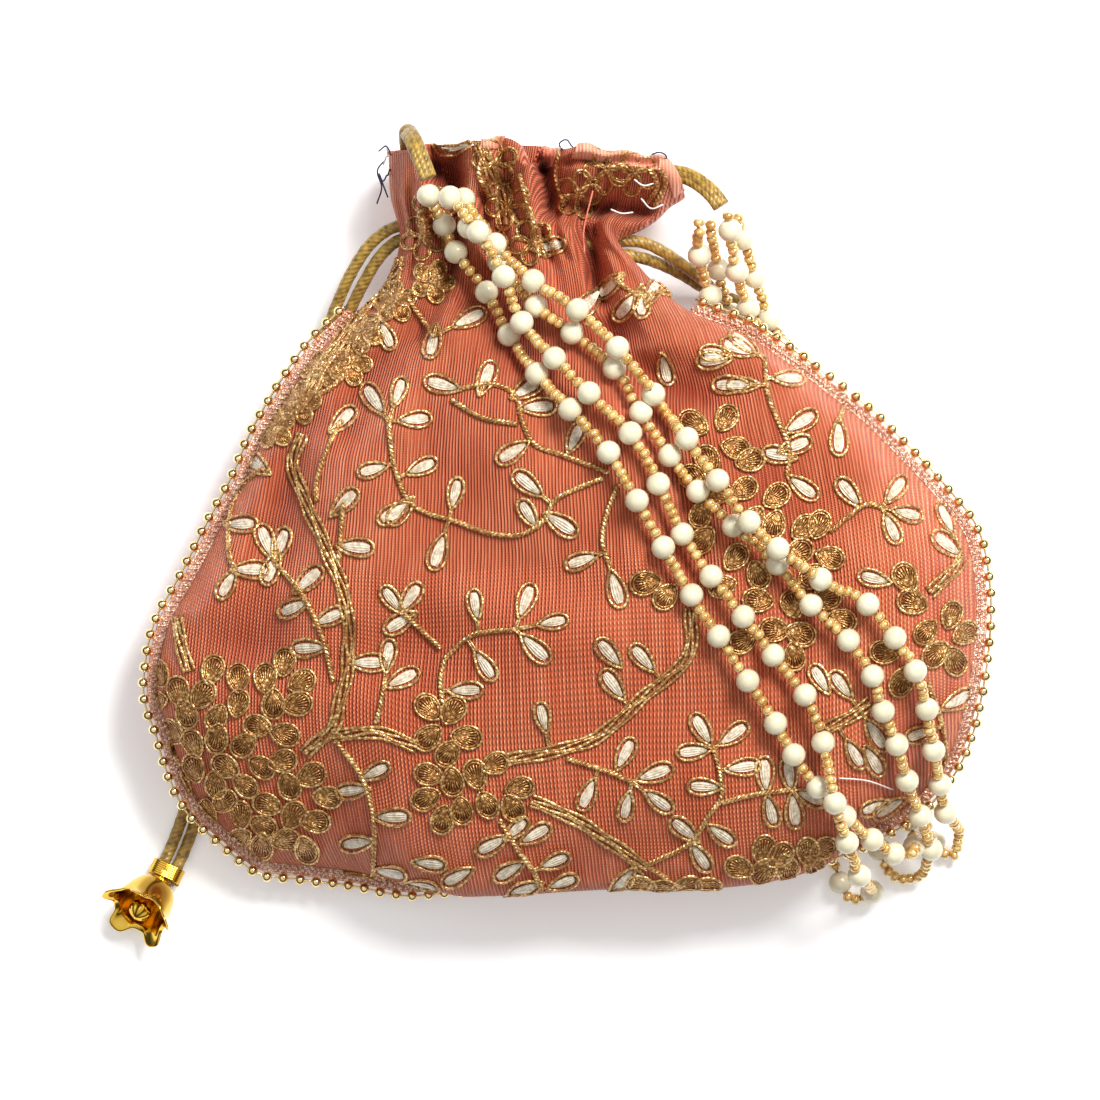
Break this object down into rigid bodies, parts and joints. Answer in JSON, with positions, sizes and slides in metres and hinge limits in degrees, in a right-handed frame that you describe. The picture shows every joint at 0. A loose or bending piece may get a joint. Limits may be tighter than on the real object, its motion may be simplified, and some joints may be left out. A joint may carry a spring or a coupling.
{
  "type": "potli bag",
  "caption": "Round-bottomed drawstring pouch of coral silk with gold floral embroidery, a beaded edge, flower tassels on satin cords and a wrist handle of pearl strands.",
  "frame": {"origin": "centre of the bag's own box at its base, on the surface the bag lies on", "axes": "+Y from the round bottom towards the frilled mouth, +Z away from the surface the bag lies on, +X to the right seen from above"},
  "size_m": [0.2224, 0.2038, 0.0635],
  "materials": {
    "coral_silk": "soft sheen, woven ribs",
    "lining_cotton": "matt, plain woven",
    "net_edging": "matt net with a gold thread",
    "pale_gold_beads": "polished, pale",
    "pearls": "pearl lustre, seeds in clear gold",
    "tassel_gold": "polished",
    "gold_thread": "wound metallic thread",
    "satin_cord": "satin",
    "zari_embroidery": "metallic thread, stitched"
  },
  "bodies": {
    "root": {"front_panel": "coral_silk", "back_panel": "coral_silk", "lining": "lining_cotton", "seam_edging": "net_edging", "seam_beads": "pale_gold_beads", "handle_strand_3": "pearls", "handle_strand_4": "pearls", "handle_strand_1": "pearls", "handle_strand_2": "pearls", "left_handle_loop": "satin_cord", "right_handle_loop": "satin_cord", "left_drawstring_round_neck": "satin_cord", "right_drawstring_round_neck": "satin_cord", "left_drawstring_end_1": "satin_cord", "left_drawstring_end_2": "satin_cord", "right_drawstring_end_1": "satin_cord", "right_drawstring_end_2": "satin_cord", "left_cord_binding": "gold_thread", "right_cord_binding": "gold_thread", "left_tassel_bell": "tassel_gold", "left_tassel_bud": "tassel_gold", "right_tassel_bell": "tassel_gold", "right_tassel_bud": "tassel_gold", "embroidered_left_branch": "zari_embroidery", "embroidered_middle_branch": "zari_embroidery", "embroidered_lower_branch": "zari_embroidery", "embroidered_left_sprig": "zari_embroidery", "embroidered_upper_sprig": "zari_embroidery", "embroidered_centre_sprig": "zari_embroidery", "embroidered_left_edge_sprig": "zari_embroidery", "embroidered_left_fork_sprig": "zari_embroidery", "embroidered_lower_left_sprig": "zari_embroidery", "embroidered_lower_middle_sprig": "zari_embroidery", "embroidered_lower_right_sprig": "zari_embroidery", "embroidered_right_sprig": "zari_embroidery", "embroidered_shoulder_sprig": "zari_embroidery", "embroidered_left_flowers": "zari_embroidery", "embroidered_centre_flowers": "zari_embroidery", "embroidered_right_flowers": "zari_embroidery", "embroidered_far_right_flowers": "zari_embroidery", "embroidered_lower_right_flowers": "zari_embroidery"}
  },
  "joints": []
}
